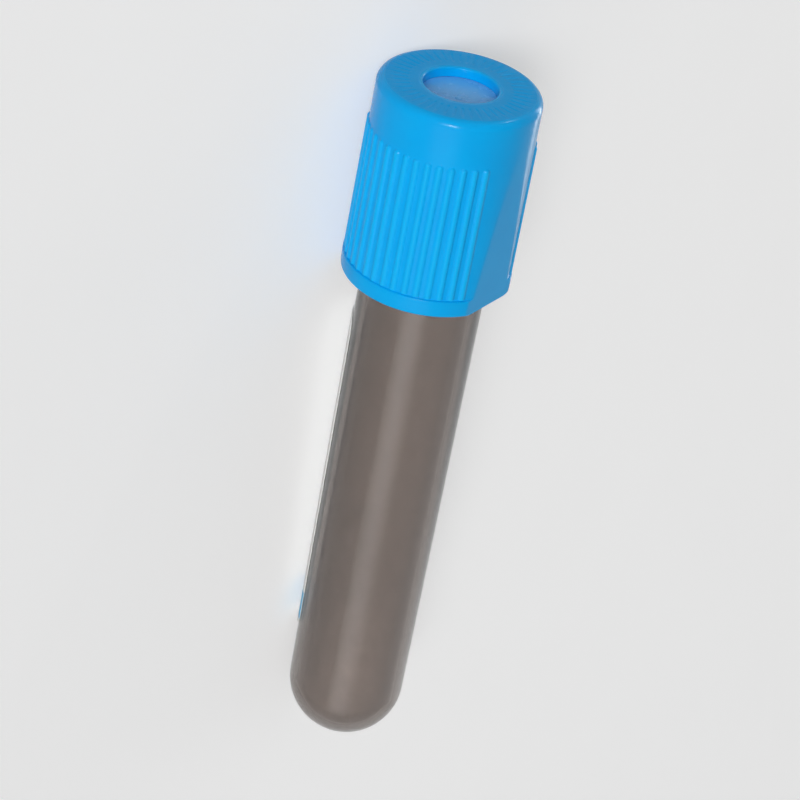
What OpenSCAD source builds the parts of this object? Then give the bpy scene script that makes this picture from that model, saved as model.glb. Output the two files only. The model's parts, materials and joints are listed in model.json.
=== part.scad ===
// Evacuated blood collection tube: a clear outer tube lined by an inner tube, a rubber
// stopper, a ribbed closure shield, a paper label and a little liquid additive.
// Every piece is drawn upright, on its own axis with the round end at zero, and lay_down()
// then rests the closed tube on its round end and on one flat panel of the shield.

/* [Outer tube] */
// Outside diameter of the outer tube
tube_od = 13; // [10.5:0.1:16.5]
// Length of the outer tube, from its round end to its rim
tube_length = 75; // [55:1:120]
// Wall of the outer tube
tube_wall = 0.9; // [0.7:0.05:1.2]
// Length of the slightly flared part at the mouth of the outer tube
flare_length = 15; // [5:0.5:25]
// How much wider the outer tube is at its rim than along its straight part
mouth_flare = 0.2; // [0.05:0.05:0.4]

/* [Inner tube] */
// Wall of the inner tube
liner_wall = 0.7; // [0.5:0.05:1]
// Gap round the inner tube, below its collar
liner_gap = 0.25; // [0.1:0.05:0.4]
// How far the wider collar of the inner tube reaches below the plug
collar_reach = 5; // [2.5:0.5:10]
// Length of the slope from the collar down to the rest of the inner tube
collar_slope = 1.2; // [0.5:0.1:2]
// How far the rim of the inner tube lies below that of the outer tube
rim_drop = 0.6; // [0.2:0.1:1.5]

/* [Stopper] */
// Length of the plug that goes into the mouth
plug_length = 8.5; // [6:0.5:14]
// Diameter of the recess in the underside of the plug
recess_d = 5.2; // [3:0.1:6.6]
// Depth of the recess in the underside of the plug
recess_depth = 5; // [3.5:0.5:8]
// Height of the flange that sits on the rim of the tube
seat_flange_h = 2.2; // [1.5:0.1:4]
// Height of the groove between the two flanges
groove_h = 1; // [0.8:0.1:2]
// Height of the upper flange, which the shield holds
cap_flange_h = 2.7; // [1.5:0.1:4]
// Depth of the dished target where the needle goes in
target_depth = 0.4; // [0.3:0.1:1.5]

/* [Shield] */
// Height of the shield
shield_height = 21.5; // [16:0.5:28]
// Thickness of the top of the shield
top_thickness = 1.05; // [1:0.05:2.5]
// Diameter of the hole that lets the needle through
port_d = 7.5; // [5:0.1:9]
// Width of the space between the skirt of the shield and the rim of the outer tube
skirt_gap = 0.6; // [0.4:0.05:1]
// Wall of the skirt between its ribs, at its lower edge
skirt_wall = 1.3; // [0.9:0.05:2]
// How much narrower all round the shield is at its top than at its lower edge
shield_taper = 0.2; // [0.05:0.05:0.4]
// Wall left behind the flat panels, at the lower edge of the skirt
panel_wall = 0.7; // [0.5:0.05:0.85]
// Depth of the snap ridge that grips the groove of the stopper
ridge_depth = 1.05; // [0.6:0.05:1.4]

/* [Ribs and lip] */
// Angle from one rib to the next, in degrees
rib_pitch = 8; // [6.5:0.5:15]
// Least angle from the edge of a flat panel to the nearest rib, in degrees
rib_margin = 4; // [3:0.5:15]
// Radius of the round back of a rib
rib_round = 0.42; // [0.32:0.02:0.5]
// How far a rib stands proud
rib_proud = 0.22; // [0.1:0.02:0.3]
// Height of the plain band above the ribs
band_height = 4.8; // [2:0.1:8]
// Height of the plain lip below the ribs
lip_height = 1.9; // [1:0.1:3]
// How far the lip stands proud
lip_proud = 0.25; // [0.1:0.05:0.4]

/* [Label] */
// Distance from the round end of the tube up to the label
label_rise = 13; // [9:0.5:25]
// Distance from the shield down to the label
label_drop = 6; // [2:0.5:15]
// Width of the label, measured round the tube
label_width = 16; // [8:0.5:25]
// Thickness of the label and its adhesive
label_thickness = 0.12; // [0.08:0.01:0.2]
// Radius of the corners of the label
label_round = 2; // [0.5:0.5:3]
// Direction that the middle of the label faces, from the upper panel
label_turn = 155; // [0:5:360]

/* [Additive] */
// Depth of the liquid at its deepest, with the tube lying down
pool_depth = 2.3; // [1.2:0.1:3.2]
// How far the liquid reaches from the round end
pool_reach = 30; // [12:1:45]

/* [Rounding] */
// Radius of the rounded top edge of the shield
top_round = 0.9; // [0.3:0.1:1.2]
// Radius of the upper edge of the needle hole
port_round = 0.25; // [0.1:0.05:0.5]
// Radius of the outer lower edge of the shield
lip_round = 0.35; // [0.1:0.05:0.6]
// Radius of the edge at the entry of the skirt
entry_round = 0.35; // [0.1:0.05:0.45]
// Radius of the edges of the two flanges of the stopper
flange_round = 0.3; // [0.1:0.05:0.5]
// Radius of the lower edge of the plug
plug_round = 0.5; // [0.2:0.05:0.8]

/* [Fits] */
// Clearance round the plug, in the collar of the inner tube
plug_fit = 0.05; // [0.03:0.01:0.08]
// Clearance between the collar of the inner tube and the outer tube
collar_fit = 0.05; // [0.02:0.01:0.1]
// Clearance all round between the stopper and the shield
shield_fit = 0.15; // [0.1:0.01:0.3]
// Clearance between surfaces that only rest on each other
seat_fit = 0.03; // [0.01:0.01:0.1]

/* [Hidden] */
$fn = 96;
overcut = 0.2;

// Outer tube
tube_r = tube_od / 2;
bore_r = tube_r - tube_wall;
mouth_r = tube_r + mouth_flare / 2;
rim_round = tube_wall / 3;
straight_end = tube_length - flare_length;

// Inner tube
liner_r = bore_r - liner_gap;
liner_bore_r = liner_r - liner_wall;
liner_tip = tube_wall + seat_fit;
liner_rim = tube_length - rim_drop;
collar_r = bore_r - collar_fit;
collar_bore_r = collar_r - liner_wall;
collar_start = tube_length - plug_length - collar_reach;

// Stopper
plug_r = collar_bore_r - plug_fit;
plug_bottom = tube_length - plug_length;
groove_start = tube_length + seat_flange_h;
groove_end = groove_start + groove_h;
stopper_top = groove_end + cap_flange_h;
recess_r = recess_d / 2;
port_r = port_d / 2;

// Shield
shield_top = stopper_top + seat_fit + top_thickness;
shield_bottom = shield_top - shield_height;
skirt_bore_r = mouth_r + skirt_gap;
shield_base_r = skirt_bore_r + skirt_wall;
shield_top_r = shield_base_r - shield_taper;
draft = atan(shield_taper / (shield_height - top_round));
panel_reach = skirt_bore_r + panel_wall;

// Snap fit of the shield round the stopper
pocket_r = skirt_bore_r - shield_fit;
cap_flange_r = pocket_r - shield_fit;
ridge_bore_r = skirt_bore_r - ridge_depth;
groove_r = ridge_bore_r - shield_fit;
ridge_start = groove_start + shield_fit;
ridge_end = groove_end - shield_fit;

// Ribs and lip
lip_r = shield_base_r + lip_proud;
lip_top = shield_bottom + lip_height;
rib_start = lip_top - lip_proud;
rib_end = shield_top - band_height - rib_round;
rib_span = 180 - 2 * (acos(panel_reach / lip_r) + rib_margin);
rib_steps = floor(rib_span / rib_pitch);

// Label
label_inner_r = tube_r + seat_fit;
label_outer_r = label_inner_r + label_thickness;
label_top = shield_bottom - label_drop;
label_angle = 180 * label_width / (PI * label_inner_r);
// The arcs at its corners cross its edges by this much, instead of only touching them
corner_cross = 0.05;

// Rest: the closed tube lies on the whole of one flat panel and on its round end, or on the
// lower edge of a label that faces down and sticks out further than the round end does
panel_offset = shield_bottom - tube_r;
round_end_tilt = acos(tube_r / norm([panel_reach, panel_offset])) - atan2(panel_offset, panel_reach);
label_tilt = atan2(panel_reach - label_outer_r, shield_bottom - label_rise);
label_faces_down = abs(label_turn - 180) < label_angle / 2;
rest_tilt = label_faces_down ? min(round_end_tilt, label_tilt) : round_end_tilt;
rest_lift = panel_reach * cos(rest_tilt) - shield_bottom * sin(rest_tilt);
cap_end_x = -(shield_top_r - top_round) * sin(rest_tilt) - (shield_top - top_round) * cos(rest_tilt)
    - top_round;
round_end_x = tube_r * (1 - cos(rest_tilt));
rest_shift = -(cap_end_x + round_end_x) / 2;

// Radius of the shield between its ribs, at height z
function shield_r(z) = shield_base_r - (z - shield_bottom) * tan(draft);

// Lays an upright piece down as the closed tube comes to rest
module lay_down() {
    translate([rest_shift, 0, rest_lift])
        rotate([0, rest_tilt - 90, 0])
            children();
}

// Half outline of a rod or a bore with a round end at the given tip
module round_ended_outline(r, tip, top) {
    intersection() {
        union() {
            translate([0, tip + r]) circle(r);
            translate([0, tip + r]) square([r, top - tip - r]);
        }
        translate([0, tip]) square([r, top - tip]);
    }
}

// Half outline of a plain disc or cylinder
module disc_outline(r, bottom, top) {
    translate([0, bottom]) square([r, top - bottom]);
}

// What rounding a corner at [x, y] takes away; side and up are 1 or -1 and point outwards
module corner_waste(x, y, r, side, up) {
    translate([x - side * r, y - up * r])
        difference() {
            scale([side, up]) square(r + overcut);
            circle(r);
        }
}

module outer_tube() {
    color([0.80, 0.82, 0.83])
        rotate_extrude()
            difference() {
                union() {
                    round_ended_outline(tube_r, 0, straight_end);
                    polygon([[0, straight_end], [tube_r, straight_end],
                        [mouth_r, tube_length], [0, tube_length]]);
                }
                round_ended_outline(bore_r, tube_wall, tube_length + overcut);
                corner_waste(mouth_r, tube_length, rim_round, 1, 1);
                corner_waste(bore_r, tube_length, rim_round, -1, 1);
            }
}

// Half outline of the space inside the inner tube
module liner_bore_outline(gap) {
    round_ended_outline(liner_bore_r - gap, liner_tip + liner_wall + gap, collar_start + overcut);
    polygon([[0, collar_start], [liner_bore_r - gap, collar_start],
        [collar_bore_r - gap, collar_start + collar_slope],
        [collar_bore_r - gap, liner_rim + overcut], [0, liner_rim + overcut]]);
}

module inner_tube() {
    color([0.86, 0.87, 0.86])
        rotate_extrude()
            difference() {
                union() {
                    round_ended_outline(liner_r, liner_tip, collar_start);
                    polygon([[0, collar_start], [liner_r, collar_start],
                        [collar_r, collar_start + collar_slope], [collar_r, liner_rim],
                        [0, liner_rim]]);
                }
                liner_bore_outline(0);
            }
}

module stopper() {
    dish_r = (pow(port_r, 2) + pow(target_depth, 2)) / (2 * target_depth);
    recess_roof = plug_bottom + recess_depth;
    color([0.42, 0.50, 0.62])
        rotate_extrude()
            difference() {
                union() {
                    disc_outline(plug_r, plug_bottom, tube_length + overcut);
                    disc_outline(tube_r, tube_length, groove_start);
                    disc_outline(groove_r, groove_start, groove_end);
                    disc_outline(cap_flange_r, groove_end, stopper_top);
                }
                corner_waste(plug_r, plug_bottom, plug_round, 1, -1);
                corner_waste(tube_r, groove_start, flange_round, 1, 1);
                corner_waste(cap_flange_r, stopper_top, flange_round, 1, 1);
                // Recess in the underside, with a domed roof
                disc_outline(recess_r, plug_bottom - overcut, recess_roof - recess_r);
                intersection() {
                    translate([0, recess_roof - recess_r]) circle(recess_r);
                    disc_outline(recess_r, plug_bottom, recess_roof);
                }
                // Dished target
                intersection() {
                    translate([0, stopper_top - target_depth + dish_r]) circle(dish_r);
                    disc_outline(port_r, stopper_top - target_depth, stopper_top + overcut);
                }
            }
}

// Shell of the shield before its ribs are added
module shield_shell() {
    rotate_extrude()
        difference() {
            union() {
                polygon([[0, shield_bottom], [shield_base_r, shield_bottom],
                    [shield_top_r, shield_top - top_round], [shield_top_r, shield_top],
                    [0, shield_top]]);
                disc_outline(lip_r, shield_bottom, lip_top);
            }
            corner_waste(shield_top_r, shield_top, top_round, 1, 1);
            corner_waste(lip_r, lip_top, lip_proud, 1, 1);
            corner_waste(lip_r, shield_bottom, lip_round, 1, -1);
            // Skirt bore and its rounded entry
            disc_outline(skirt_bore_r, shield_bottom - overcut, ridge_start);
            corner_waste(skirt_bore_r, shield_bottom, entry_round, -1, -1);
            // Snap ridge, pocket for the upper flange of the stopper, and needle port
            disc_outline(ridge_bore_r, ridge_start - overcut, ridge_end + overcut);
            disc_outline(pocket_r, ridge_end, stopper_top + seat_fit);
            disc_outline(port_r, stopper_top, shield_top + overcut);
            corner_waste(port_r, shield_top, port_round, -1, 1);
        }
}

// One round-backed rib that follows the draft and ends in a ball
module rib() {
    length = (rib_end - rib_start) / cos(draft);
    translate([shield_r(rib_start) + rib_proud - rib_round, 0, rib_start])
        rotate([0, -draft, 0]) {
            cylinder(r = rib_round, h = length);
            translate([0, 0, length]) sphere(rib_round);
        }
}

// What the flat panel that faces along +X takes away
module panel_waste() {
    translate([panel_reach, 0, shield_bottom])
        rotate([0, rest_tilt, 0])
            translate([0, -lip_r, -overcut])
                cube([lip_r, 2 * lip_r, shield_height + 2 * overcut]);
}

module shield() {
    color([0.02, 0.58, 0.86])
        difference() {
            union() {
                shield_shell();
                for (side = [90, 270], i = [0:rib_steps])
                    rotate(side + (i - rib_steps / 2) * rib_pitch) rib();
            }
            for (side = [0, 180])
                rotate(side) panel_waste();
        }
}

// What rounding one corner of the label takes away; around and up are 1 or -1
module label_corner_waste(around, up) {
    inset = label_round - corner_cross;
    corner_turn = label_angle * (0.5 - inset / label_width);
    corner_z = up > 0 ? label_top - inset : label_rise + inset;
    rotate(around * corner_turn)
        translate([0, 0, corner_z])
            rotate([90, 0, 90])
                linear_extrude(tube_od)
                    difference() {
                        scale([around, up]) square(label_round + overcut);
                        circle(label_round);
                    }
}

module label() {
    color([0.95, 0.95, 0.93])
        rotate(label_turn)
            difference() {
                rotate(-label_angle / 2)
                    rotate_extrude(angle = label_angle)
                        translate([label_inner_r, label_rise])
                            square([label_thickness, label_top - label_rise]);
                for (around = [-1, 1], up = [-1, 1])
                    label_corner_waste(around, up);
            }
}

// Liquid lying along the lower side of the inner tube, with a level top and a round front
module citrate_solution() {
    lowest = rest_lift - liner_bore_r + (liner_tip + liner_wall + liner_bore_r) * sin(rest_tilt);
    front_x = rest_shift - pool_reach + liner_bore_r;
    color([0.90, 0.93, 0.95])
        intersection() {
            lay_down() rotate_extrude() liner_bore_outline(seat_fit);
            linear_extrude(lowest + pool_depth)
                union() {
                    translate([front_x, 0]) circle(liner_bore_r);
                    translate([front_x, -liner_bore_r]) square([pool_reach, 2 * liner_bore_r]);
                }
        }
}

lay_down() outer_tube();
lay_down() inner_tube();
lay_down() stopper();
lay_down() shield();
lay_down() label();
citrate_solution();
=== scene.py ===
"""Looks of an evacuated blood collection tube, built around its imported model.

Each piece is modelled upright, in millimetres, on the tube's own axis with the round end at
zero. It is then laid down at its real size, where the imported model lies.
"""

from __future__ import annotations

import json
import logging
import math
from collections.abc import Callable, Iterator, Sequence
from contextlib import contextmanager
from dataclasses import dataclass
from enum import Enum

import bpy
import numpy as np
from mathutils import Matrix, Vector


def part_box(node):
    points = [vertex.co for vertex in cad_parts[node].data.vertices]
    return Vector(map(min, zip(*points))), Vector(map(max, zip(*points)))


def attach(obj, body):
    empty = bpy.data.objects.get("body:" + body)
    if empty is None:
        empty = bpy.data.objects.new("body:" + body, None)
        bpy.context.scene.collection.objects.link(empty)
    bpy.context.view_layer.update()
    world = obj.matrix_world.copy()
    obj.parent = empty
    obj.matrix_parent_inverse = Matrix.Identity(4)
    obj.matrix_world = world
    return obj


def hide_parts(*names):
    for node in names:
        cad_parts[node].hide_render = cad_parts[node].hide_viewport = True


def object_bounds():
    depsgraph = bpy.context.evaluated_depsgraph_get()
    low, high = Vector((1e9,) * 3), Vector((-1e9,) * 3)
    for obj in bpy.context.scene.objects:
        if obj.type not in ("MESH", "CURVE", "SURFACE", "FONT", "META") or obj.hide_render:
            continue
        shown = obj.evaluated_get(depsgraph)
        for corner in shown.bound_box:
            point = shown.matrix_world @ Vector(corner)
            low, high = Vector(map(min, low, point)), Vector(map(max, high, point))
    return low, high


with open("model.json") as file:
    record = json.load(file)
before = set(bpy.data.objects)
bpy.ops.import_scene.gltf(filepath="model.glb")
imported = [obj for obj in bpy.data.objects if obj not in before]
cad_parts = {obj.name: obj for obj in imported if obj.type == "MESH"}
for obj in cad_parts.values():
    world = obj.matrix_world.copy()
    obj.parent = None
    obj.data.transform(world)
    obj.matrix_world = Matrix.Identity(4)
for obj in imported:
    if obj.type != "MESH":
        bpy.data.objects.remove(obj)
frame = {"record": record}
PACKED_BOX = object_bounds()

LOG = logging.getLogger("tube")
MM = 0.001
MERGE = 1e-3
SEEN_RAYS = ("Is Camera Ray", "Is Glossy Ray", "Is Transmission Ray")

Piece = bpy.types.Object
Material = bpy.types.Material
Socket = bpy.types.NodeSocket
Colour = tuple[float, float, float, float]
Heights = Callable[[np.ndarray], np.ndarray]


class Body(Enum):
    """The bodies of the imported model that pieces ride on."""

    TUBE = "tube"
    STOPPER = "stopper"
    SHIELD = "shield"


class Push(Enum):
    """The ways in which a relief may push a surface."""

    OUTWARDS = "NORMAL"
    ACROSS = "X"
    ALONG = "Z"


# ---- modelling


@dataclass(frozen=True)
class Corner:
    """One corner of an outline that is turned round the axis.

    Args:
        r: Distance from the axis, in millimetres.
        z: Height above the round end, in millimetres.
        round: Radius of the rounded corner, or 0 for a sharp one.
        steps: Number of straight steps that the rounded corner is made of.
    """

    r: float
    z: float
    round: float = 0.0
    steps: int = 5

    @property
    def at(self) -> Vector:
        """The corner as a flat vector."""
        return Vector((self.r, self.z))


def rounded(corners: Sequence[Corner], closed: bool) -> list[Vector]:
    """Rounds the corners of an outline.

    Args:
        corners: The corners in order.
        closed: Whether the last corner joins the first.

    Returns:
        The points of the rounded outline, in order.
    """
    points: list[Vector] = []
    count = len(corners)
    for i, corner in enumerate(corners):
        inner = closed or 0 < i < count - 1
        if not (corner.round and inner):
            points.append(corner.at)
            continue
        back = (corners[i - 1].at - corner.at).normalized()
        ahead = (corners[(i + 1) % count].at - corner.at).normalized()
        half = back.angle(ahead) / 2
        centre = corner.at + (back + ahead).normalized() * corner.round / math.sin(half)
        start = corner.at + back * corner.round / math.tan(half) - centre
        end = corner.at + ahead * corner.round / math.tan(half) - centre
        sweep = start.angle(end)
        for k in range(corner.steps + 1):
            part = k / corner.steps
            points.append(
                centre
                + (start * math.sin((1 - part) * sweep) + end * math.sin(part * sweep))
                / math.sin(sweep)
            )
    return points


def smooth_max(a: np.ndarray, b: float, soft: float) -> np.ndarray:
    """The larger of a and b, with a soft bend of that width where they meet."""
    blend = np.clip(0.5 + 0.5 * (a - b) / soft, 0, 1)
    return b * (1 - blend) + a * blend + soft * blend * (1 - blend)


class Bench:
    """Modelling steps that the pieces share."""

    @staticmethod
    def take(obj: Piece) -> None:
        """Selects that object alone and makes it active.

        Args:
            obj: The object to select.
        """
        bpy.ops.object.select_all(action="DESELECT")
        obj.select_set(True)
        bpy.context.view_layer.objects.active = obj

    @staticmethod
    @contextmanager
    def editing(obj: Piece) -> Iterator[None]:
        """Edits a piece with all of it selected, and turns its faces outwards at the end.

        Args:
            obj: The piece to edit.

        Returns:
            The span in which it is in edit mode.
        """
        Bench.take(obj)
        bpy.ops.object.mode_set(mode="EDIT")
        bpy.ops.mesh.select_all(action="SELECT")
        yield
        bpy.ops.mesh.select_all(action="SELECT")
        bpy.ops.mesh.normals_make_consistent(inside=False)
        bpy.ops.object.mode_set(mode="OBJECT")

    @staticmethod
    def merge() -> None:
        """Selects all of the edited mesh and merges what lies together."""
        bpy.ops.mesh.select_all(action="SELECT")
        bpy.ops.mesh.remove_doubles(threshold=MERGE)

    @staticmethod
    def turned(name: str, corners: Sequence[Corner], segments: int, closed: bool) -> Piece:
        """Turns an outline round the upright axis.

        Args:
            name: Name of the new piece.
            corners: Corners of the outline. An open one starts and ends on the axis.
            segments: Number of steps round the axis.
            closed: Whether the last corner joins the first.

        Returns:
            The turned piece, a closed solid.
        """
        points = rounded(corners, closed)
        bpy.ops.object.select_all(action="DESELECT")
        bpy.ops.mesh.primitive_plane_add(size=1)
        obj = bpy.context.active_object
        obj.name = obj.data.name = name
        ends = points[1:] + (points[:1] if closed else [])
        with Bench.editing(obj):
            bpy.ops.mesh.merge(type="CENTER")
            bpy.ops.transform.translate(value=(points[0].x, 0, points[0].y))
            for here, there in zip(points, ends):
                move = (there.x - here.x, 0, there.y - here.y)
                if Vector(move).length > MERGE:
                    bpy.ops.mesh.extrude_vertices_move(
                        TRANSFORM_OT_translate={"value": move}
                    )
            Bench.merge()
            bpy.ops.mesh.spin(
                steps=segments, angle=math.tau, center=(0, 0, 0), axis=(0, 0, 1)
            )
            Bench.merge()
        return obj

    @staticmethod
    def places(obj: Piece) -> np.ndarray:
        """Reads the places of an object's vertices.

        Args:
            obj: The object to read.

        Returns:
            The places, one row each.
        """
        flat = np.empty(len(obj.data.vertices) * 3, np.float32)
        obj.data.vertices.foreach_get("co", flat)
        return flat.reshape(-1, 3).astype(float)

    @staticmethod
    def relief(obj: Piece, name: str, heights: Heights, push: Push) -> np.ndarray:
        """Pushes a surface by a height that depends on the place.

        Args:
            obj: The piece to shape.
            name: Name of the relief.
            heights: Gives the height at each place, in millimetres.
            push: The direction of the push.

        Returns:
            The share of the largest height at each vertex.
        """
        Bench.take(obj)
        amounts = heights(Bench.places(obj))
        reach = float(np.abs(amounts).max())
        sign = float(np.sign(amounts.sum()))
        shares = np.abs(amounts) / reach
        group = obj.vertex_groups.new(name=name)
        for index in np.flatnonzero(shares > MERGE):
            group.add([int(index)], float(shares[index]), "REPLACE")
        bpy.ops.object.modifier_add(type="DISPLACE")
        modifier = obj.modifiers[-1]
        modifier.direction = push.value
        modifier.mid_level = 0
        modifier.strength = sign * reach
        modifier.vertex_group = name
        bpy.ops.object.modifier_apply(modifier=modifier.name)
        obj.vertex_groups.clear()
        return shares

    @staticmethod
    def mark(obj: Piece, name: str, values: np.ndarray) -> None:
        """Stores one number for each vertex, for the piece's material to read."""
        obj.data.attributes.new(name, "FLOAT", "POINT").data.foreach_set(
            "value", values.astype(np.float32)
        )

    @staticmethod
    def smooth(obj: Piece, degrees: float) -> None:
        """Shades an object smooth, but for edges sharper than that angle."""
        Bench.take(obj)
        bpy.ops.object.shade_smooth_by_angle(angle=math.radians(degrees))


@dataclass(frozen=True)
class RestPlace:
    """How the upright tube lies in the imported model.

    Args:
        matrix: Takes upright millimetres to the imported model's metres.
        tilt: How far the axis rises towards the closure, in radians.
    """

    matrix: Matrix
    tilt: float

    @classmethod
    def from_mount(cls, mount: dict, tube_radius: float) -> RestPlace:
        """Finds the place from the mount that holds the straight part of the tube.

        Args:
            mount: The mount's entry in the record.
            tube_radius: Radius of the tube, in millimetres.

        Returns:
            The place of the whole tube.
        """
        up = -Vector(mount["axis"])
        side = Vector((0, 1, 0))
        middle = tube_radius + mount["dims"]["length_mm"] / 2
        origin = Vector(mount["pos_m"]) - up * middle * MM
        turn = Matrix((side.cross(up), side, up)).transposed().to_4x4()
        matrix = Matrix.Translation(origin) @ turn @ Matrix.Scale(MM, 4)
        return cls(matrix, math.asin(up.z))

    def lay_down(self, obj: Piece) -> None:
        """Lays an upright piece down, with its place in its mesh.

        Args:
            obj: The upright piece.
        """
        Bench.take(obj)
        obj.matrix_world = self.matrix
        bpy.ops.object.transform_apply(location=True, rotation=True, scale=True)

    def spot(self, z: float) -> Vector:
        """The place of a point on the axis, in metres, at height z in millimetres."""
        return self.matrix @ Vector((0, 0, z))


def fit(obj: Piece, node: str, body: Body, look: Material) -> None:
    """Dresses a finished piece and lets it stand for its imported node.

    Args:
        obj: The finished piece.
        node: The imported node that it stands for.
        body: The body that it rides on.
        look: The piece's material.
    """
    obj.data.materials.clear()
    obj.data.materials.append(look)
    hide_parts(node)
    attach(obj, body.value)
    LOG.info("%s: %d faces on %s", obj.name, len(obj.data.polygons), body.value)


# ---- materials


@dataclass(frozen=True)
class Grain:
    """Noise on a piece's own coordinates.

    Args:
        scale: Number of cells to the metre.
        detail: How many times finer noise is added.
        rough: How strong the finer noise is.
        low: Noise at which patches start to show.
        high: Noise at which they show in full.
    """

    scale: float
    detail: float = 2.0
    rough: float = 0.5
    low: float = 0.0
    high: float = 1.0


class Wiring:
    """A node tree, written with short calls."""

    def __init__(self, tree: bpy.types.NodeTree) -> None:
        """Takes the tree that the calls write in."""
        self.tree = tree

    def add(
        self, kind: str, sockets: dict | None = None, **settings: object
    ) -> bpy.types.Node:
        """Adds a node.

        Args:
            kind: The node's type without its first word, such as Mix for ShaderNodeMix.
            sockets: Values or outputs for its inputs, by name or number.
            settings: Values for its own settings.

        Returns:
            The node.
        """
        node = self.tree.nodes.new("ShaderNode" + kind)
        for key, value in settings.items():
            setattr(node, key, value)
        for key, value in (sockets or {}).items():
            if isinstance(value, Socket):
                self.tree.links.new(value, node.inputs[key])
            else:
                node.inputs[key].default_value = value
        return node

    def maths(self, operation: str, *values: object) -> Socket:
        """Adds a Math node and gives its output."""
        return self.add("Math", dict(enumerate(values)), operation=operation).outputs[0]


class Sheet(Wiring):
    """The node tree of a new material."""

    def __init__(self, name: str) -> None:
        """Starts an empty material.

        Args:
            name: Name of the material.
        """
        self.material = bpy.data.materials.new(name)
        self.material.use_nodes = True
        super().__init__(self.material.node_tree)
        self.tree.nodes.clear()

    def ramp(
        self, value: Socket, low: float, high: float, to_low: float, to_high: float
    ) -> Socket:
        """Maps a value from the range low to high to another, held at both ends."""
        ends = {"From Min": low, "From Max": high, "To Min": to_low, "To Max": to_high}
        return self.add("MapRange", {"Value": value, **ends}).outputs["Result"]

    def tint(
        self, share: Socket, first: Colour | Socket, second: Colour | Socket
    ) -> Socket:
        """Mixes two colours by a share, where 0 is the first and 1 the second."""
        node = self.add("Mix", {0: share, 6: first, 7: second}, data_type="RGBA")
        return node.outputs[2]

    def noise(self, grain: Grain) -> Socket:
        """Adds noise on the piece's own coordinates.

        Args:
            grain: The noise's sizes.

        Returns:
            The noise, from 0 to 1.
        """
        sockets = {
            "Vector": self.add("TexCoord").outputs["Object"],
            "Scale": grain.scale,
            "Detail": grain.detail,
            "Roughness": grain.rough,
        }
        return self.add("TexNoise", sockets).outputs["Fac"]

    def patches(self, grain: Grain, most: float = 1.0) -> Socket:
        """Soft patches of noise, from 0 between them up to the most inside them."""
        return self.ramp(self.noise(grain), grain.low, grain.high, 0.0, most)

    def bump(self, height: Socket, depth: float) -> Socket:
        """A bump of that depth, in metres."""
        node = self.add("Bump", {"Height": height, "Strength": 1.0, "Distance": depth})
        return node.outputs["Normal"]

    def finish(self, surface: Socket, volume: Socket | None = None) -> Material:
        """Joins the shaders to the output.

        Args:
            surface: The surface shader.
            volume: The volume shader, where there is one.

        Returns:
            The material.
        """
        out = self.add("OutputMaterial", {"Surface": surface})
        if volume is not None:
            self.tree.links.new(volume, out.inputs["Volume"])
        return self.material


@dataclass(frozen=True)
class MouldedShield:
    """Glossy light blue plastic, moulded, with a finely grained top.

    Args:
        colour: Colour of the plastic.
        crest: Colour of the crests of the ribs, a lighter blue that is a painted highlight.
        cloud: Colour of the faint clouds in the plastic.
        top: Colour of the grained top, a darker blue that is a painted shade.
        roughness: Roughness of the polished sides.
        grained: Roughness of the grained top.
        scuffed: How much rougher the scuffed patches are.
        gloss: Specular level of the plastic.
        peel: Share of the bump that the sides have, where the top has all of it.
        depth: Depth of the bump, in metres.
        clouds: Noise of the clouds.
        scuffs: Noise of the scuffed patches.
        waves: Noise of the bump on the sides.
        pits: Noise of the bump on the top.
    """

    colour: Colour = (0.0, 0.412, 0.880, 1.0)
    crest: Colour = (0.002, 0.470, 0.930, 1.0)
    cloud: Colour = (0.0, 0.392, 0.860, 1.0)
    top: Colour = (0.0, 0.370, 0.820, 1.0)
    roughness: float = 0.17
    grained: float = 0.40
    scuffed: float = 0.08
    gloss: float = 0.13
    peel: float = 0.12
    depth: float = 0.00002
    clouds: Grain = Grain(240, 3, low=0.35, high=0.65)
    scuffs: Grain = Grain(900, 3, low=0.42, high=0.68)
    waves: Grain = Grain(1600)
    pits: Grain = Grain(6500, 3, 0.7)

    def build(self) -> Material:
        """Builds the material.

        Returns:
            The material.
        """
        sheet = Sheet("shield_plastic")
        crest = sheet.add("Attribute", attribute_name="crest").outputs["Fac"]
        top = sheet.add("Attribute", attribute_name="top").outputs["Fac"]
        side = sheet.tint(sheet.patches(self.clouds), self.colour, self.cloud)
        # Painted highlight: the crests of the ribs are painted a lighter blue, by the share
        # of each rib's height.
        side = sheet.tint(crest, side, self.crest)
        # Painted shade: the grained top is painted a darker blue than the sides.
        colour = sheet.tint(top, side, self.top)
        peel = sheet.maths("MULTIPLY", sheet.noise(self.waves), self.peel)
        matt = sheet.maths("MULTIPLY", top, sheet.noise(self.pits))
        scuff = sheet.patches(self.scuffs, self.scuffed)
        rough = sheet.ramp(top, 0.0, 1.0, self.roughness, self.grained)
        shader = sheet.add(
            "BsdfPrincipled",
            {
                "Base Color": colour,
                "Roughness": sheet.maths("ADD", scuff, rough),
                "IOR": 1.49,
                "Specular IOR Level": self.gloss,
                "Normal": sheet.bump(sheet.maths("ADD", peel, matt), self.depth),
            },
        )
        return sheet.finish(shader.outputs[0])


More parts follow.
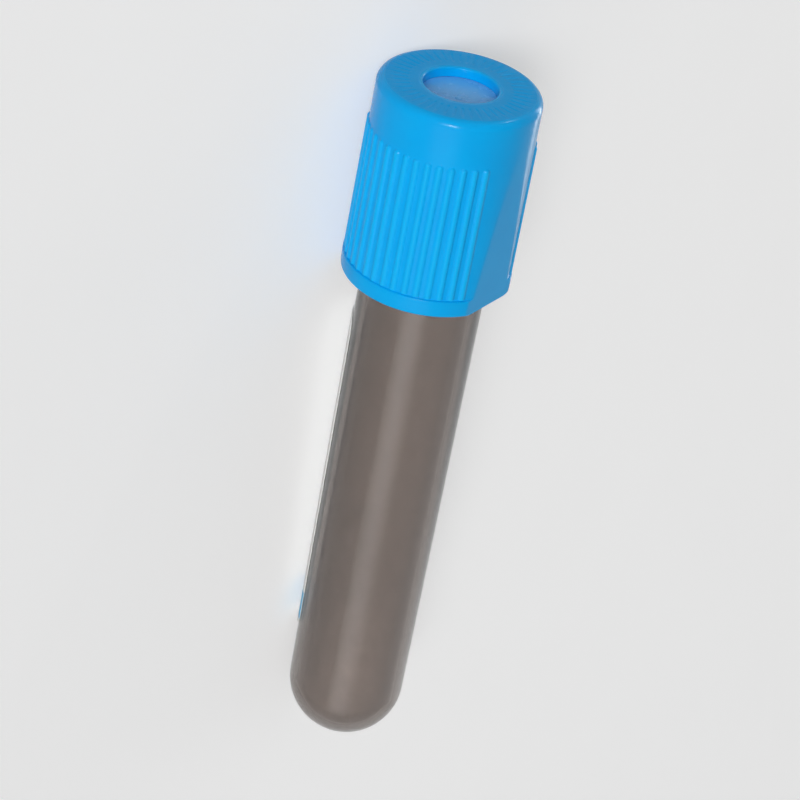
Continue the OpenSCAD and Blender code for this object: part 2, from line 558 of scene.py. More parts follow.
@dataclass(frozen=True)
class StopperRubber:
    """Smooth moulded rubber with a faint bloom.

    Args:
        colour: The rubber's blue, painted brighter than the rubber is, as painted light
            that makes up for the shade in the port.
        bloom: Colour of the bloom on it, painted brighter in the same way.
        roughness: Roughness of the rubber.
        dull: How much rougher the bloom is.
        sheen: Weight of the rubber's sheen.
        depth: Depth of the fine unevenness, in metres.
        blooms: Noise of the bloom.
        pores: Noise of the fine unevenness.
    """

    colour: Colour = (0.08, 0.41, 0.83, 1.0)
    bloom: Colour = (0.11, 0.43, 0.82, 1.0)
    roughness: float = 0.20
    dull: float = 0.12
    sheen: float = 0.1
    depth: float = 0.000012
    blooms: Grain = Grain(700, 4, 0.6, 0.4, 0.7)
    pores: Grain = Grain(5000, 3, 0.6)

    def build(self) -> Material:
        """Builds the material.

        Returns:
            The material.
        """
        sheet = Sheet("stopper_rubber")
        patch = sheet.patches(self.blooms)
        dull = self.roughness + self.dull
        shader = sheet.add(
            "BsdfPrincipled",
            {
                # Painted light: both colours are brighter than the rubber itself, to make
                # up for the shade in the port.
                "Base Color": sheet.tint(patch, self.colour, self.bloom),
                "Roughness": sheet.ramp(patch, 0.0, 1.0, self.roughness, dull),
                "IOR": 1.5,
                "Sheen Weight": self.sheen,
                "Normal": sheet.bump(sheet.noise(self.pores), self.depth),
            },
        )
        return sheet.finish(shader.outputs[0])


@dataclass(frozen=True)
class ClearWall:
    """See-through plastic or liquid that may swallow light on the way, which is a painted
    shade.

    Args:
        name: Name of the material.
        tint: Colour that each face lets through.
        shade: Colour that lamps throw through it.
        roughness: Roughness of its faces.
        ior: How strongly it bends light.
        solid: Share of it that is milky and not clear.
        swallow: How much light it swallows, for each metre.
        leftover: Colour of the light that is left.
        depth: Depth of the fine unevenness of its faces, in metres.
        streaked: How much rougher the streaks on its faces are.
        streaks: Noise of the streaks.
        ripples: Noise of the fine unevenness.
    """

    name: str
    tint: Colour
    shade: Colour
    roughness: float
    ior: float
    solid: float = 0.0
    swallow: float = 0.0
    leftover: Colour = (1.0, 1.0, 1.0, 1.0)
    depth: float = 0.0
    streaked: float = 0.06
    streaks: Grain = Grain(600, 4, 0.6, 0.4, 0.75)
    ripples: Grain = Grain(900, 3)

    def build(self) -> Material:
        """Builds the material.

        Returns:
            The material.
        """
        sheet = Sheet(self.name)
        streak = sheet.patches(self.streaks, self.streaked)
        sockets = {
            "Base Color": self.tint,
            "Roughness": sheet.maths("ADD", streak, self.roughness),
            "IOR": self.ior,
            "Transmission Weight": 1.0 - self.solid,
        }
        if self.depth:
            sockets["Normal"] = sheet.bump(sheet.noise(self.ripples), self.depth)
        body = sheet.add("BsdfPrincipled", sockets)
        lamp = sheet.add("BsdfTransparent", {"Color": self.shade})
        path = sheet.add("LightPath").outputs["Is Shadow Ray"]
        mix = sheet.add("MixShader", {0: path, 1: body.outputs[0], 2: lamp.outputs[0]})
        volume = None
        if self.swallow:
            volume = sheet.add(
                "VolumeAbsorption", {"Color": self.leftover, "Density": self.swallow}
            ).outputs[0]
        return sheet.finish(mix.outputs[0], volume)


@dataclass(frozen=True)
class PrintedPaper:
    """A white label with a blue band and ruled lines, and no words.

    Lengths are in millimetres, along from the label's lower end and across from its left.

    Args:
        paper: Colour of the paper.
        band: Colour of the band along one end.
        ink: Colour of the ruled lines.
        band_span: Where the band starts and ends along the label.
        across_span: Where lines and box start and end across the label.
        rules_span: Where the ruled lines start and end along the label.
        rule_pitch: Distance from one ruled line to the next.
        box_span: Where the box starts and ends along the label.
        tick: Where the line that parts the box stands across the label.
        line: Width of a printed line.
        roughness: Roughness of the smoothest and of the roughest fibres.
        depth: Depth of the paper's fibres, in metres.
        fibres: Noise of the fibres.
    """

    paper: Colour = (0.80, 0.80, 0.78, 1.0)
    band: Colour = (0.10, 0.45, 0.72, 1.0)
    ink: Colour = (0.045, 0.05, 0.10, 1.0)
    band_span: tuple[float, float] = (1.4, 5.2)
    across_span: tuple[float, float] = (1.6, 14.4)
    rules_span: tuple[float, float] = (9.0, 23.0)
    rule_pitch: float = 3.5
    box_span: tuple[float, float] = (26.0, 34.0)
    tick: float = 7.9
    line: float = 0.14
    roughness: tuple[float, float] = (0.42, 0.58)
    depth: float = 0.000008
    fibres: Grain = Grain(4200, 5, 0.7, 0.3, 0.7)

    def build(self) -> Material:
        """Builds the material.

        Returns:
            The material.
        """
        sheet = Sheet("label_paper")
        place = sheet.add("UVMap", uv_map="flat").outputs[0]
        split = sheet.add("SeparateXYZ", {0: place})
        across, along = split.outputs["X"], split.outputs["Y"]

        def strip(value: Socket, low: float, high: float, inset: float = 0.0) -> Socket:
            """1 where the value lies between low and high, drawn in by the inset."""
            return sheet.maths(
                "MULTIPLY",
                sheet.maths("GREATER_THAN", value, low + inset),
                sheet.maths("LESS_THAN", value, high - inset),
            )

        def block(inset: float = 0.0) -> Socket:
            """1 inside the box, drawn in by the inset."""
            return sheet.maths(
                "MULTIPLY",
                strip(across, *self.across_span, inset),
                strip(along, *self.box_span, inset),
            )

        start, stop = self.rules_span
        rows = sheet.maths("SUBTRACT", along, start)
        rows = sheet.maths("PINGPONG", rows, self.rule_pitch / 2)
        ruled = sheet.maths("LESS_THAN", rows, self.line / 2)
        ruled = sheet.maths("MULTIPLY", ruled, strip(along, start, stop, -self.line))
        ruled = sheet.maths("MULTIPLY", ruled, strip(across, *self.across_span))
        box = sheet.maths("SUBTRACT", block(), block(self.line))
        parting = strip(across, self.tick, self.tick + self.line)
        parting = sheet.maths("MULTIPLY", parting, strip(along, *self.box_span))
        ink = sheet.maths("MAXIMUM", sheet.maths("MAXIMUM", ruled, box), parting)
        band = strip(along, *self.band_span)
        face = sheet.add("Attribute", attribute_name="printed").outputs["Fac"]
        blue = sheet.tint(sheet.maths("MULTIPLY", band, face), self.paper, self.band)
        printed = sheet.tint(sheet.maths("MULTIPLY", ink, face), blue, self.ink)
        fibre = sheet.noise(self.fibres)
        ends = (self.fibres.low, self.fibres.high, *self.roughness)
        shader = sheet.add(
            "BsdfPrincipled",
            {
                "Base Color": printed,
                "Roughness": sheet.ramp(fibre, *ends),
                "IOR": 1.45,
                "Normal": sheet.bump(fibre, self.depth),
            },
        )
        return sheet.finish(shader.outputs[0])


# ---- the object


@dataclass
class TubeBody:
    """The clear outer tube and the hazy inner tube in it. Sizes are in millimetres."""

    radius: float = 6.5
    length: float = 75.0
    wall: float = 0.9
    straight_end: float = 60.0
    mouth_radius: float = 6.6
    rim_round: float = 0.3
    flare_round: float = 40.0
    gate_floor: float = 0.64
    gate_radius: float = 0.8
    gate_depth: float = 0.14
    gate_rise: float = 0.05
    dome_start: float = 0.96
    liner_tip: float = 0.93
    liner_radius: float = 5.35
    liner_wall: float = 0.7
    collar_start: float = 61.5
    collar_slope: float = 1.2
    collar_radius: float = 5.55
    collar_round: float = 0.8
    liner_rim: float = 74.4
    dome_steps: int = 28
    sharp: float = 30.0
    segments: int = 160

    def outer(self) -> Piece:
        """Turns the outer tube, with the shallow mark of the mould's gate at its tip.

        Returns:
            The tube, upright.
        """
        bore = self.radius - self.wall
        return Bench.turned(
            "clear_outer_tube",
            [
                Corner(0, self.gate_depth),
                Corner(self.gate_floor, self.gate_depth, 0.1, 3),
                Corner(self.gate_radius, self.gate_rise, 0.06, 3),
                *self.dome(),
                Corner(self.radius, self.straight_end, self.flare_round, 5),
                Corner(self.mouth_radius, self.length, self.rim_round, 6),
                Corner(bore, self.length, self.rim_round, 6),
                Corner(bore, self.wall, bore - 0.01, 32),
                Corner(0, self.wall),
            ],
            self.segments,
            closed=False,
        )

    def dome(self) -> list[Corner]:
        """Finds the points of the round end, from the gate mark out to the full radius.

        Returns:
            The points in order, as sharp corners.
        """
        first = math.asin(self.dome_start / self.radius)
        return [
            Corner(self.radius * math.sin(a), self.radius * (1 - math.cos(a)))
            for a in np.linspace(first, math.pi / 2, self.dome_steps + 1)
        ]

    def inner(self) -> Piece:
        """Turns the inner tube, with its wider collar at the mouth.

        Returns:
            The tube, upright.
        """
        bore = self.liner_radius - self.liner_wall
        collar_bore = self.collar_radius - self.liner_wall
        slope_end = self.collar_start + self.collar_slope
        return Bench.turned(
            "hazy_inner_tube",
            [
                Corner(0, self.liner_tip),
                Corner(self.liner_radius, self.liner_tip, self.liner_radius - 0.01, 32),
                Corner(self.liner_radius, self.collar_start, self.collar_round, 4),
                Corner(self.collar_radius, slope_end, self.collar_round, 4),
                Corner(self.collar_radius, self.liner_rim, 0.15, 3),
                Corner(collar_bore, self.liner_rim, 0.25, 4),
                Corner(collar_bore, slope_end, self.collar_round, 4),
                Corner(bore, self.collar_start, self.collar_round, 4),
                Corner(bore, self.liner_tip + self.liner_wall, bore - 0.01, 32),
                Corner(0, self.liner_tip + self.liner_wall),
            ],
            self.segments,
            closed=False,
        )

    def build(self, place: RestPlace) -> None:
        """Builds both tubes.

        Args:
            place: How the tube lies.
        """
        # Painted shade: the walls' brown tints and the light that they swallow darken the
        # tube, most towards its edges, where the way through the wall is longest.
        clear = ClearWall(
            "clear_tube",
            tint=(0.98, 0.98, 0.975, 1.0),
            shade=(0.96, 0.96, 0.955, 1.0),
            roughness=0.05,
            ior=1.57,
            swallow=1150.0,
            leftover=(0.42, 0.35, 0.31, 1.0),
            depth=0.000003,
        )
        hazy = ClearWall(
            "hazy_liner",
            tint=(0.88, 0.84, 0.82, 1.0),
            shade=(0.94, 0.92, 0.91, 1.0),
            roughness=0.20,
            ior=1.49,
            solid=0.22,
            swallow=320.0,
            leftover=(0.46, 0.38, 0.34, 1.0),
            depth=0.000006,
        )
        for obj, node, slot, look in (
            (self.outer(), "outer_tube", "clear_tube", clear),
            (self.inner(), "inner_tube", "hazy_liner", hazy),
        ):
            Bench.smooth(obj, self.sharp)
            place.lay_down(obj)
            fit(obj, node, Body.TUBE, look.build())


@dataclass
class Stopper:
    """The rubber stopper, with its dished target and a recess. Sizes are in millimetres."""

    plug_radius: float = 4.8
    plug_bottom: float = 66.5
    plug_round: float = 0.5
    recess_radius: float = 2.6
    recess_depth: float = 5.0
    seat_radius: float = 6.5
    seat: float = 75.0
    groove_start: float = 77.2
    groove_end: float = 78.2
    groove_radius: float = 6.0
    cap_radius: float = 6.9
    top: float = 80.9
    flange_round: float = 0.3
    target_radius: float = 3.75
    target_depth: float = 0.4
    nib_radius: float = 0.4
    nib_height: float = 0.12
    bowl_steps: int = 16
    nib_steps: int = 8
    sharp: float = 40.0
    segments: int = 160

    def target(self) -> list[Corner]:
        """Finds the points of the dish and of the nib in its middle.

        Returns:
            The points in order, from the edge of the dish to the axis.
        """
        dish = (self.target_radius**2 + self.target_depth**2) / (2 * self.target_depth)
        floor = self.top - self.target_depth
        edge = math.asin(self.target_radius / dish)
        start = math.asin(self.nib_radius / dish)
        bowl = [
            Corner(dish * math.sin(a), floor + dish * (1 - math.cos(a)))
            for a in np.linspace(edge, start, self.bowl_steps + 1)[1:]
        ]
        nib = [
            Corner(self.nib_radius * math.cos(a), floor + self.nib_height * math.sin(a))
            for a in np.linspace(0, math.pi / 2, self.nib_steps + 1)[1:]
        ]
        return bowl + nib

    def build(self, place: RestPlace) -> None:
        """Builds the stopper.

        Args:
            place: How the tube lies.
        """
        roof = self.plug_bottom + self.recess_depth
        obj = Bench.turned(
            "rubber_stopper",
            [
                Corner(0, roof),
                Corner(self.recess_radius, roof, self.recess_radius - 0.01, 12),
                Corner(self.recess_radius, self.plug_bottom, 0.3, 4),
                Corner(self.plug_radius, self.plug_bottom, self.plug_round, 5),
                Corner(self.plug_radius, self.seat, 0.15, 3),
                Corner(self.seat_radius, self.seat, 0.12, 3),
                Corner(self.seat_radius, self.groove_start, self.flange_round, 5),
                Corner(self.groove_radius, self.groove_start, 0.1, 3),
                Corner(self.groove_radius, self.groove_end, 0.1, 3),
                Corner(self.cap_radius, self.groove_end, 0.15, 3),
                Corner(self.cap_radius, self.top, self.flange_round, 5),
                Corner(self.target_radius, self.top, 0.2, 4),
                *self.target(),
            ],
            self.segments,
            closed=False,
        )
        Bench.smooth(obj, self.sharp)
        place.lay_down(obj)
        fit(obj, "stopper", Body.STOPPER, StopperRubber().build())


@dataclass
class Shield:
    """The ribbed shield over the stopper and the tube's rim. Sizes are in millimetres."""

    bottom: float = 60.48
    top: float = 81.98
    base_radius: float = 8.5
    taper: float = 0.2
    top_round: float = 0.9
    port_radius: float = 3.75
    port_round: float = 0.25
    stopper_seat: float = 80.93
    pocket_radius: float = 7.05
    ridge_radius: float = 6.15
    ridge_start: float = 77.35
    ridge_end: float = 78.05
    skirt_radius: float = 7.2
    outside_radius: float = 7.4
    entry_round: float = 0.35
    lip_proud: float = 0.25
    lip_height: float = 1.9
    lip_round: float = 0.35
    panel_reach: float = 7.9
    panel_soft: float = 0.07
    rib_pitch: float = 8.0
    rib_count: int = 16
    rib_round: float = 0.42
    rib_proud: float = 0.22
    rib_soft: float = 0.06
    rib_foot: float = 0.09
    band: float = 4.8
    dash_pitch: float = 7.5
    dash_half_width: float = 0.13
    dash_depth: float = 0.05
    dash_soft: float = 0.08
    dash_start: float = 5.35
    dash_end: float = 6.55
    grain_start: float = 4.15
    grain_end: float = 7.6
    top_slack: float = 0.02
    ring_step: float = 0.4
    dash_step: float = 0.3
    fine_step: float = 0.05
    row_step: float = 0.75
    ball_step: float = 0.055
    sharp: float = 50.0
    segments: int = 720

    def skin(self, z: np.ndarray | float) -> np.ndarray | float:
        """Radius of the outside between the ribs at height z."""
        rise = (z - self.bottom) / (self.top - self.top_round - self.bottom)
        return self.base_radius - self.taper * rise

    @property
    def lip_top(self) -> float:
        """Height of the upper edge of the lip."""
        return self.bottom + self.lip_height

    @property
    def ball(self) -> float:
        """Height at which the round ends of the ribs start."""
        return self.top - self.band - self.rib_round

    def rings(self) -> np.ndarray:
        """Finds the rings of the top, close together where the marks start and end.

        Returns:
            The radii of the rings, from the port outwards.
        """
        start, end = self.dash_start, self.dash_end
        return np.concatenate([
            np.arange(self.port_radius + 0.6, start - 0.1, self.ring_step),
            np.arange(start - 0.1, start + 0.16, self.fine_step),
            np.arange(start + 0.3, end - 0.3, self.dash_step),
            np.arange(end - 0.15, end + 0.11, self.fine_step),
        ])

    def rows(self) -> np.ndarray:
        """Finds the rows of the side, close together where the ribs start and end.

        Returns:
            The heights of the rows, from the top down.
        """
        rib_end = self.top - self.band
        return np.concatenate([
            np.arange(self.top - self.top_round - 0.8, rib_end + 0.3, -self.row_step),
            np.arange(rib_end + 0.1, self.ball - 0.06, -self.ball_step),
            np.arange(self.ball - 0.4, self.lip_top + 0.7, -self.row_step),
            self.lip_top + np.array([0.35, 0.15, 0.10]),
        ])

    def outline(self) -> list[Corner]:
        """Finds the shield's outline.

        Returns:
            Its corners, from the needle port down round the skirt to the port again.
        """
        lip = self.base_radius + self.lip_proud
        return [
            Corner(self.port_radius, self.stopper_seat, 0.05, 2),
            Corner(self.port_radius, self.top, self.port_round, 6),
            *(Corner(float(r), self.top) for r in self.rings()),
            Corner(self.base_radius - self.taper, self.top, self.top_round, 12),
            *(Corner(float(self.skin(z)), float(z)) for z in self.rows()),
            Corner(float(self.skin(self.lip_top)), self.lip_top, 0.08, 3),
            Corner(lip, self.lip_top - 0.05, 0.18, 5),
            Corner(lip, self.bottom, self.lip_round, 7),
            Corner(self.skirt_radius, self.bottom, self.entry_round, 6),
            Corner(self.skirt_radius, self.ridge_start, 0.1, 2),
            Corner(self.ridge_radius, self.ridge_start, 0.15, 3),
            Corner(self.ridge_radius, self.ridge_end, 0.15, 3),
            Corner(self.pocket_radius, self.ridge_end, 0.1, 2),
            Corner(self.pocket_radius, self.stopper_seat, 0.1, 2),
        ]

    def ribs(self, at: np.ndarray) -> np.ndarray:
        """Finds how far the ribs stand above the plain skin.

        Args:
            at: The places, one row each.

        Returns:
            The height of the ribs at each place.
        """
        x, y, z = at.T
        out = np.hypot(x, y)
        turn = np.degrees(np.arctan2(y, x))
        side = np.abs(turn) - 90
        nearest = (np.round(side / self.rib_pitch - 0.5) + 0.5) * self.rib_pitch
        last = (self.rib_count - 1) / 2 * self.rib_pitch
        nearest = np.clip(nearest, -last, last)
        across = np.radians(side - nearest) * out
        past = np.maximum(z - self.ball, 0)
        gap = np.minimum(across**2 + past**2, self.rib_round**2)
        crest = np.sqrt(self.rib_round**2 - gap) - (self.rib_round - self.rib_proud)
        above = self.skin(z) + crest - out
        height = smooth_max(above, 0.0, self.rib_soft)
        on_side = (z > self.lip_top + self.rib_foot) & (z < self.top - self.top_round)
        on_skin = (out > self.outside_radius) & on_side
        return np.where(on_skin, np.maximum(height, 0), 0)

    def flat(self, at: np.ndarray, side: int, tilt: float) -> np.ndarray:
        """Finds how far the flat panel on one side takes the skin back.

        Args:
            at: The places, one row each.
            side: 1 for the panel that faces up, -1 for the one on the floor.
            tilt: How far the tube's axis rises towards the closure, in radians.

        Returns:
            The push along X at each place.
        """
        x, _, z = at.T
        plane = self.panel_reach + (z - self.bottom) * math.tan(tilt)
        cut = smooth_max(x * side - plane, 0.0, self.panel_soft)
        return -side * np.where(x * side > self.outside_radius, cut, 0)

    def dashes(self, at: np.ndarray) -> np.ndarray:
        """Finds the depth of the short radial marks that are sunk into the top.

        Args:
            at: The places, one row each.

        Returns:
            The push along Z at each place.
        """
        x, y, z = at.T
        out = np.hypot(x, y)
        turn = np.degrees(np.arctan2(y, x))
        off = (turn / self.dash_pitch - np.round(turn / self.dash_pitch)) * self.dash_pitch
        across = np.abs(np.radians(off)) * out
        past = np.maximum(np.maximum(self.dash_start - out, out - self.dash_end), 0)
        edge = self.dash_half_width - np.hypot(across, past)
        sunk = np.clip(edge / self.dash_soft + 0.5, 0, 1)
        sunk = sunk * sunk * (3 - 2 * sunk) * self.dash_depth
        return np.where(z > self.top - self.top_slack, -sunk, 0)

    def build(self, place: RestPlace) -> None:
        """Builds the shield.

        Args:
            place: How the tube lies.
        """
        obj = Bench.turned("ribbed_shield", self.outline(), self.segments, closed=True)
        plain = Bench.places(obj)
        crest = Bench.relief(obj, "ribs", self.ribs, Push.OUTWARDS)
        for side in (1, -1):
            Bench.relief(
                obj, "flat", lambda at, s=side: self.flat(at, s, place.tilt), Push.ACROSS
            )
        Bench.relief(obj, "dashes", self.dashes, Push.ALONG)
        out = np.hypot(plain[:, 0], plain[:, 1])
        grained = (
            (plain[:, 2] > self.top - self.top_slack)
            & (out > self.grain_start)
            & (out < self.grain_end)
        )
        # The share of each rib's height marks where the painted highlight on the crests
        # goes.
        Bench.mark(obj, "crest", crest)
        # The grained top also takes the painted shade of a darker blue.
        Bench.mark(obj, "top", grained.astype(float))
        Bench.smooth(obj, self.sharp)
        place.lay_down(obj)
        fit(obj, "shield", Body.SHIELD, MouldedShield().build())


@dataclass
class PaperLabel:
    """The paper label on the far side of the tube. Sizes are in millimetres and degrees."""

    inner_radius: float = 6.53
    thickness: float = 0.12
    rise: float = 13.0
    top: float = 54.48
    width: float = 16.0
    corner: float = 2.0
    corner_steps: int = 8
    turn: float = 155.0
    strips: int = 56
    sharp: float = 40.0

    def wrap(self, obj: Piece) -> None:
        """Bends the flat label round the tube.

        Args:
            obj: The flat label, with its width along X and its length along Y.
        """
        at = Bench.places(obj)
        angle = at[:, 0] / self.inner_radius + math.radians(self.turn)
        out = self.inner_radius + at[:, 2]
        bent = np.column_stack([out * np.cos(angle), out * np.sin(angle), at[:, 1]])
        obj.data.vertices.foreach_set("co", bent.astype(np.float32).ravel())
        obj.data.update()

    def cut(self) -> Piece:
        """Cuts the flat label, with round corners and fine strips across its width.

        Returns:
            The label, flat and with its thickness.
        """
        length = self.top - self.rise
        bpy.ops.object.select_all(action="DESELECT")
        bpy.ops.mesh.primitive_plane_add(size=1, location=(0, self.rise + length / 2, 0))
        obj = bpy.context.active_object
        obj.name = obj.data.name = "paper_label"
        obj.scale = (self.width, length, 1)
        bpy.ops.object.transform_apply(location=True, rotation=True, scale=True)
        with Bench.editing(obj):
            bpy.ops.mesh.bevel(
                offset=self.corner, segments=self.corner_steps, affect="VERTICES"
            )
            for k in range(1, self.strips):
                bpy.ops.mesh.select_all(action="SELECT")
                fold = (self.width * (k / self.strips - 0.5), 0, 0)
                bpy.ops.mesh.bisect(plane_co=fold, plane_no=(1, 0, 0), threshold=MERGE)
            Bench.merge()
            bpy.ops.mesh.extrude_region_move(
                TRANSFORM_OT_translate={"value": (0, 0, self.thickness)}
            )
        return obj

    def lay_print(self, obj: Piece) -> None:
        """Gives the label its print's place on its outer face.

        Args:
            obj: The flat label.
        """
        flat = Bench.places(obj)
        layer = obj.data.uv_layers.active or obj.data.uv_layers.new()
        layer.name = "flat"
        corner = np.empty(len(obj.data.loops), np.int32)
        obj.data.loops.foreach_get("vertex_index", corner)
        uv = flat[corner][:, :2] + np.array([self.width / 2, -self.rise])
        layer.data.foreach_set("uv", uv.astype(np.float32).ravel())
        Bench.mark(obj, "printed", (flat[:, 2] > self.thickness / 2).astype(float))

    def build(self, place: RestPlace) -> None:
        """Builds the label flat and wraps it round the tube.

        Args:
            place: How the tube lies.
        """
        obj = self.cut()
        self.lay_print(obj)
        self.wrap(obj)
        Bench.smooth(obj, self.sharp)
        place.lay_down(obj)
        fit(obj, "label", Body.TUBE, PrintedPaper().build())


@dataclass
class Additive:
    """The clear liquid along the lower side of the inner tube. Sizes are in millimetres."""

    radius: float = 4.66
    tip: float = 1.62
    reach: float = 30.0
    climb: float = 0.22
    edge_step: float = 0.2
    edge_falls: tuple[float, ...] = (0.55, 0.3, 0.15)
    sharp: float = 60.0
    segments: int = 96

    def build(self, place: RestPlace) -> None:
        """Builds the liquid and its level top, with an edge that climbs the wall.

        Args:
            place: How the tube lies.
        """
        obj = Bench.turned(
            "clear_solution",
            [
                Corner(0, self.tip),
                Corner(self.radius, self.tip, self.radius - 0.01, 24),
                Corner(self.radius, self.reach, self.radius - 0.01, 24),
                Corner(0, self.reach),
            ],
            self.segments,
            closed=False,
        )
        _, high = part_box("citrate_solution")
        place.lay_down(obj)
        with Bench.editing(obj):
            bpy.ops.mesh.bisect(
                plane_co=(0, 0, high.z + self.climb * MM),
                plane_no=(0, 0, 1),
                use_fill=True,
                clear_outer=True,
                threshold=MERGE * MM / 10,
            )
            for share in self.edge_falls:
                bpy.ops.mesh.inset(thickness=self.edge_step * MM, use_even_offset=False)
                bpy.ops.transform.translate(value=(0, 0, -self.climb * share * MM))
        Bench.smooth(obj, self.sharp)
        look = ClearWall(
            "clear_liquid",
            tint=(0.98, 0.99, 1.0, 1.0),
            shade=(0.95, 0.95, 0.95, 1.0),
            roughness=0.0,
            ior=1.34,
        )
        fit(obj, "citrate_solution", Body.TUBE, look.build())


# ---- the studio


def way_to(azimuth: float, elevation: float) -> Vector:
    """The direction from the tube to a stand at that azimuth and elevation, in degrees."""
    a, e = math.radians(azimuth), math.radians(elevation)
    return Vector((math.sin(a) * math.cos(e), -math.cos(a) * math.cos(e), math.sin(e)))


@dataclass(frozen=True)
class Lamp:
    """A soft rectangular lamp that faces the tube.

    Args:
        name: Name of the lamp.
        azimuth: Where it stands round the tube, in degrees.
        elevation: How high it stands, in degrees.
        far: Distance from the tube, in metres.
        width: Width, in metres.
        height: Height, in metres.
        level: How bright it alone makes a white surface that faces it.
    """

    name: str
    azimuth: float
    elevation: float
    far: float
    width: float
    height: float
    level: float

    @staticmethod
    def feather(data: bpy.types.AreaLight) -> None:
        """Makes a lamp fade towards its edges, with the same light in all.

        Args:
            data: The lamp's data.
        """
        data.use_nodes = True
        wiring = Wiring(data.node_tree)
        place = wiring.add("NewGeometry").outputs["Parametric"]
        split = wiring.add("SeparateXYZ", {0: place})
        waves = [
            wiring.maths("SINE", wiring.maths("MULTIPLY", split.outputs[axis], math.pi))
            for axis in ("X", "Y")
        ]
        fade = wiring.maths("MULTIPLY", wiring.maths("MULTIPLY", *waves), math.pi**2 / 4)
        data.node_tree.links.new(fade, data.node_tree.nodes["Emission"].inputs["Strength"])

    def hang(self, centre: Vector) -> None:
        """Hangs the lamp, out of the camera's sight.

        Args:
            centre: The point that it faces.
        """
        data = bpy.data.lights.new(self.name, "AREA")
        data.shape, data.size, data.size_y = "RECTANGLE", self.width, self.height
        data.energy = self.level * (math.pi * self.far) ** 2
        self.feather(data)
        lamp = bpy.data.objects.new(self.name, data)
        bpy.context.collection.objects.link(lamp)
        lamp.visible_camera = lamp.visible_transmission = False
        way = way_to(self.azimuth, self.elevation)
        lamp.location = centre + way * self.far
        lamp.rotation_euler = way.to_track_quat("Z", "Y").to_euler()


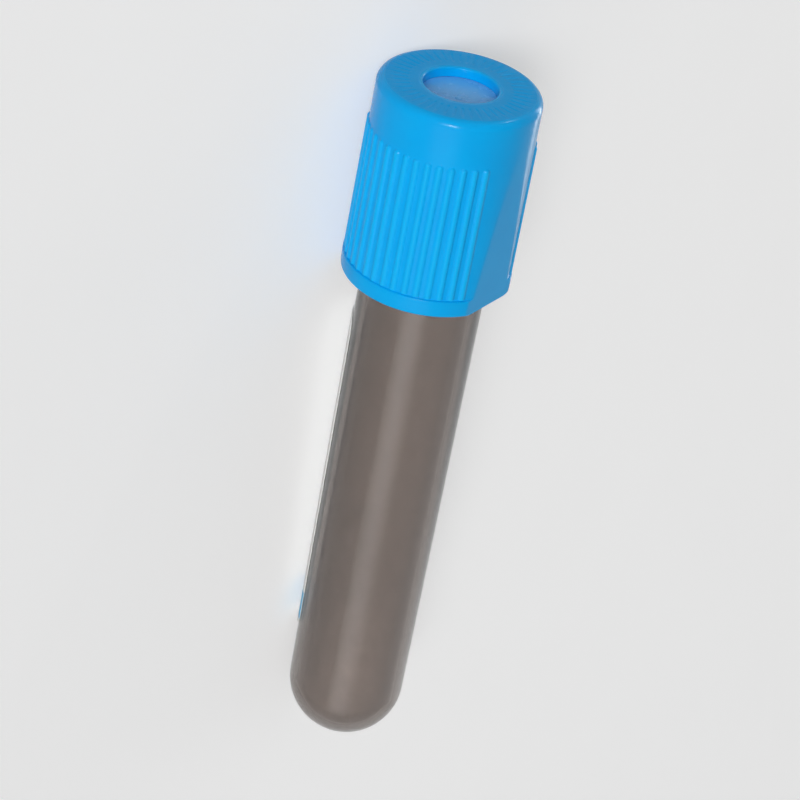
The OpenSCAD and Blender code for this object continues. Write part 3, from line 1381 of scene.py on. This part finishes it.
@dataclass
class Studio:
    """A pale floor, soft lamps and the camera.

    Args:
        azimuth: Where the camera stands round the tube, in degrees.
        elevation: How high the camera stands, in degrees.
        distance: Distance from the camera to the closure, in metres.
        lean: How far the closure leans to the right in view, in degrees.
        lens: Focal length, in millimetres.
        middle: Where the camera aims, as a share of the height of the closure's top.
        horizon: Light level of the surround at the horizon.
        zenith: Light level of the surround overhead.
        pale: Brightness of the backdrop where it is seen.
        lift: How much brighter the floor looks than the light on it makes it.
        floor_size: Length of each side of the floor, in metres.
        tones: The two tones of the floor's paint.
        mottle: Noise of the floor's paint.
        lamps: The lamps round the tube.
    """

    azimuth: float = -28.2
    elevation: float = 28.8
    distance: float = 0.236
    lean: float = 11.0
    lens: float = 108.0
    middle: float = 0.545
    horizon: float = 0.42
    zenith: float = 0.12
    pale: float = 0.84
    lift: float = 0.40
    floor_size: float = 4.0
    tones: tuple[float, float] = (0.66, 0.68)
    mottle: Grain = Grain(60)
    lamps: tuple[Lamp, ...] = (
        Lamp("key", -21, 28, 5.0, 1.6, 1.6, 0.60),
        Lamp("side", 28, 22, 5.0, 5.4, 4.0, 0.14),
        Lamp("rear", 178, 6, 5.0, 5.4, 0.84, 0.26),
        Lamp("glint", -127, 9, 5.0, 0.42, 0.42, 0.07),
    )

    def floor(self, level: float) -> None:
        """Lays the floor.

        Args:
            level: Height of the floor, in metres.
        """
        bpy.ops.object.select_all(action="DESELECT")
        bpy.ops.mesh.primitive_plane_add(size=self.floor_size, location=(0, 0, level))
        obj = bpy.context.active_object
        obj.name = obj.data.name = "floor"
        sheet = Sheet("floor_paint")
        tones = ((tone, tone, tone, 1.0) for tone in self.tones)
        paint = sheet.tint(sheet.noise(self.mottle), *tones)
        shader = sheet.add("BsdfDiffuse", {"Color": paint})
        path = sheet.add("LightPath")
        seen, *others = (path.outputs[ray] for ray in SEEN_RAYS)
        for ray in others:
            seen = sheet.maths("MAXIMUM", seen, ray)
        glow = sheet.add("Emission", {"Strength": sheet.maths("MULTIPLY", seen, self.lift)})
        both = sheet.add("AddShader", {0: shader.outputs[0], 1: glow.outputs[0]})
        obj.data.materials.append(sheet.finish(both.outputs[0]))

    def world(self) -> None:
        """Sets an even surround that is pale where it is seen."""
        world = bpy.data.worlds.new("surround")
        bpy.context.scene.world = world
        world.use_nodes = True
        world.node_tree.nodes.clear()
        wiring = Wiring(world.node_tree)
        path = wiring.add("LightPath")
        split = wiring.add("SeparateXYZ", {0: wiring.add("TexCoord").outputs["Generated"]})
        levels = {"To Min": self.horizon, "To Max": self.zenith}
        fade = wiring.add("MapRange", {"Value": split.outputs["Z"], **levels})
        light = {"Color": (1.0, 1.0, 1.0, 1.0), "Strength": fade.outputs["Result"]}
        shown = wiring.add("Background", light).outputs[0]
        backdrop = {"Color": (self.pale, self.pale, self.pale, 1.0)}
        seen = wiring.add("Background", backdrop).outputs[0]
        for ray in SEEN_RAYS:
            mix = wiring.add("MixShader", {0: path.outputs[ray], 1: shown, 2: seen})
            shown = mix.outputs[0]
        wiring.add("OutputWorld", {"Surface": shown})

    def camera(self, place: RestPlace, top: float) -> None:
        """Sets up the camera, rolled so that the closure is at the top of the view.

        Args:
            place: How the tube lies.
            top: Height of the top of the closure on the axis, in millimetres.
        """
        cap = place.spot(top)
        spot = cap + way_to(self.azimuth, self.elevation) * self.distance
        aim = place.spot(top * self.middle)
        look = (aim - spot).normalized()
        axis = (cap - place.spot(0)).normalized()
        along = (axis - look * axis.dot(look)).normalized()
        right = look.cross(along)
        lean = math.radians(self.lean)
        up = along * math.cos(lean) - right * math.sin(lean)
        turn = Matrix((look.cross(up), up, -look)).transposed()
        data = bpy.data.cameras.new("camera")
        data.lens = self.lens
        data.clip_start = 0.01
        obj = bpy.data.objects.new("camera", data)
        bpy.context.collection.objects.link(obj)
        obj.matrix_world = Matrix.Translation(spot) @ turn.to_4x4()
        bpy.context.scene.camera = obj
        bpy.context.scene.view_settings.view_transform = "Standard"

    def build(self, place: RestPlace, top: float) -> None:
        """Builds the whole studio.

        Args:
            place: How the tube lies.
            top: Height of the top of the closure on the axis, in millimetres.
        """
        low, high = PACKED_BOX
        self.floor(low.z)
        for lamp in self.lamps:
            lamp.hang((low + high) / 2)
        self.world()
        self.camera(place, top)


def main() -> None:
    """Builds every piece in order."""
    logging.basicConfig(level=logging.INFO, format="%(message)s")
    mounts = {mount["name"]: mount for mount in frame["record"]["mounts"]}
    tube = TubeBody()
    shield = Shield()
    place = RestPlace.from_mount(mounts["tube_body"], tube.radius)
    tube.build(place)
    Stopper().build(place)
    shield.build(place)
    PaperLabel().build(place)
    Additive().build(place)
    Studio().build(place, shield.top)


if __name__ == "__main__":
    main()
